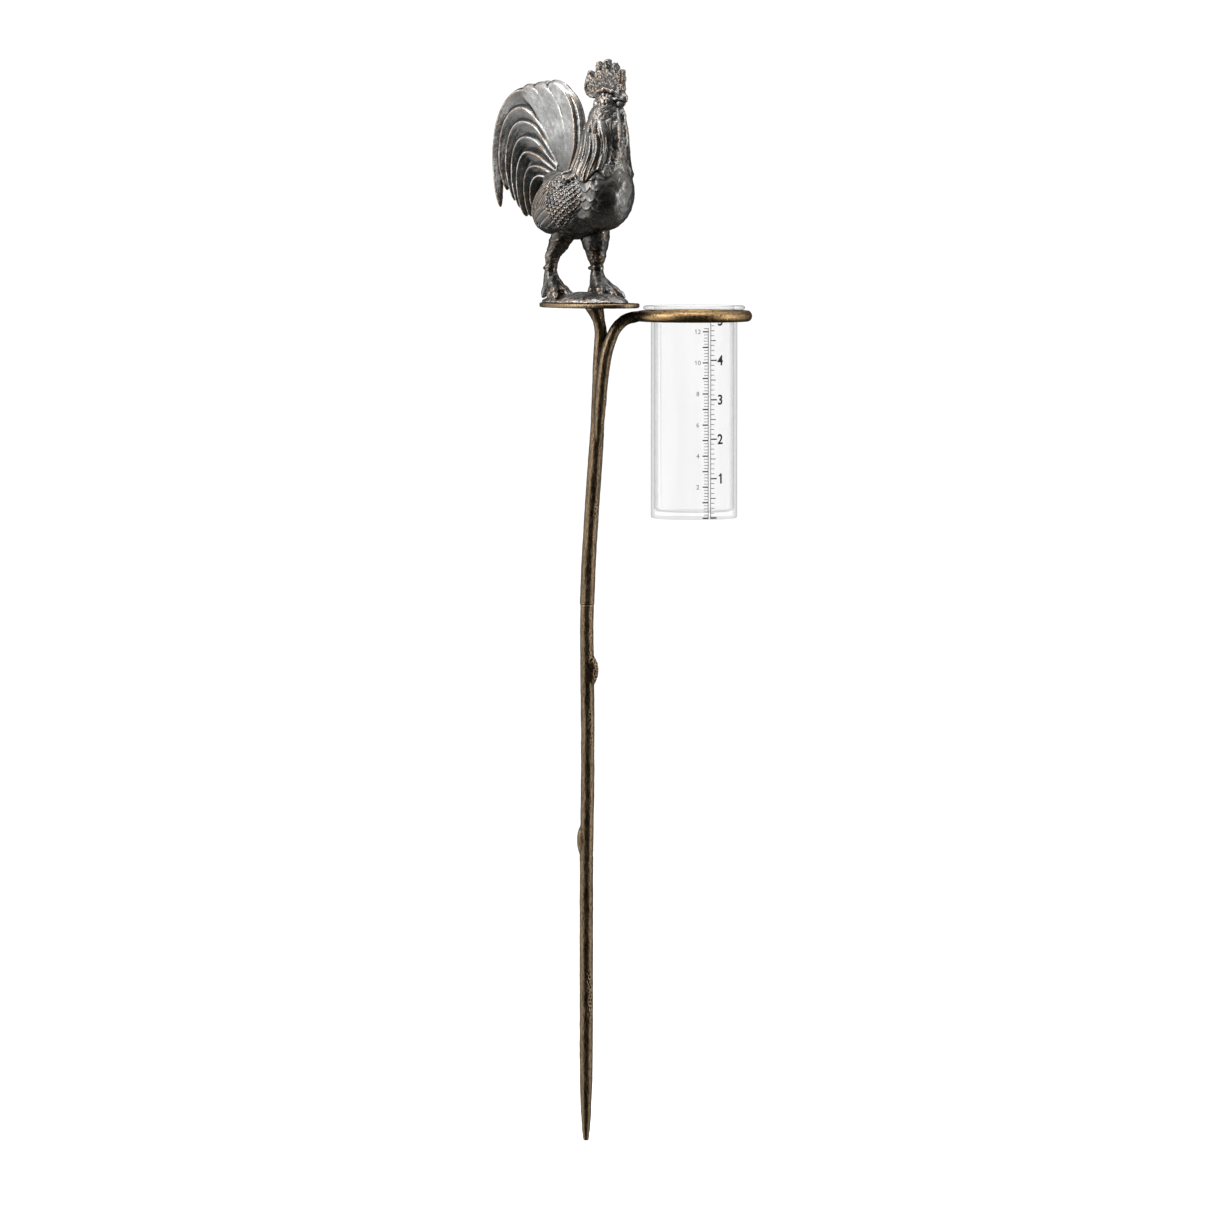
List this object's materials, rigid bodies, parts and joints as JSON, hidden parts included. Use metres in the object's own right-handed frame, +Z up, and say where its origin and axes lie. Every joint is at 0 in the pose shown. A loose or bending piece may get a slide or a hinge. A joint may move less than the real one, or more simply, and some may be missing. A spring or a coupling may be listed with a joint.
{
  "type": "manual rain gauge",
  "caption": "Garden rain gauge: clear graduated tube in a ring beside an oval perch with a cast rooster, on a forked branch-like ground stake.",
  "frame": {"origin": "centre of the blunt tip of the ground spike", "axes": "+Z up along the stake, +X from the stake towards the ring and tube, -Y the front, from which the scales are read"},
  "size_m": [0.1682, 0.0946, 0.7024],
  "materials": {
    "bronze_patina": "dark brown antique patina over cast brass, worn golden on high spots",
    "pewter_patina": "dark grey patina with silvery highlights, golden worn edges and faint green in the crevices",
    "steel_hardware": "plain turned steel",
    "clear_tube": "clear, polished",
    "printed_ink": "black screen-printed ink"
  },
  "bodies": {
    "ground_spike": {"lower_spike": "bronze_patina"},
    "stud": {"joining_stud": "steel_hardware"},
    "upper_frame": {"upper_stake": "bronze_patina", "ring_branch": "bronze_patina", "gauge_ring": "bronze_patina", "perch_plate": "bronze_patina", "figure_screw_front": "steel_hardware", "figure_screw_rear": "steel_hardware", "rooster_mound": "pewter_patina", "rooster_right_leg": "pewter_patina", "rooster_left_leg": "pewter_patina", "rooster_body": "pewter_patina", "rooster_tail": "pewter_patina"},
    "measuring_tube": {"gauge_tube": "clear_tube", "centimetre_scale": "printed_ink", "inch_scale": "printed_ink"}
  },
  "joints": [
    {"name": "stud_lift", "type": "slide", "parent": "ground_spike", "child": "stud", "axis": [0, 0, 1], "range_m": [0, 0.0096]},
    {"name": "stake_unscrew", "type": "hinge", "parent": "stud", "child": "upper_frame", "pos_m": [0.0008, 0, 0.349], "axis": [0, 0, 1], "range_deg": [0, 3420]},
    {"name": "tube_lift", "type": "slide", "parent": "upper_frame", "child": "measuring_tube", "axis": [0, 0, 1], "range_m": [0, 0.16]}
  ],
  "couplings": [
    {"joint": "stud_lift", "follows": "stake_unscrew", "m_per_rad": 0.00015915}
  ]
}
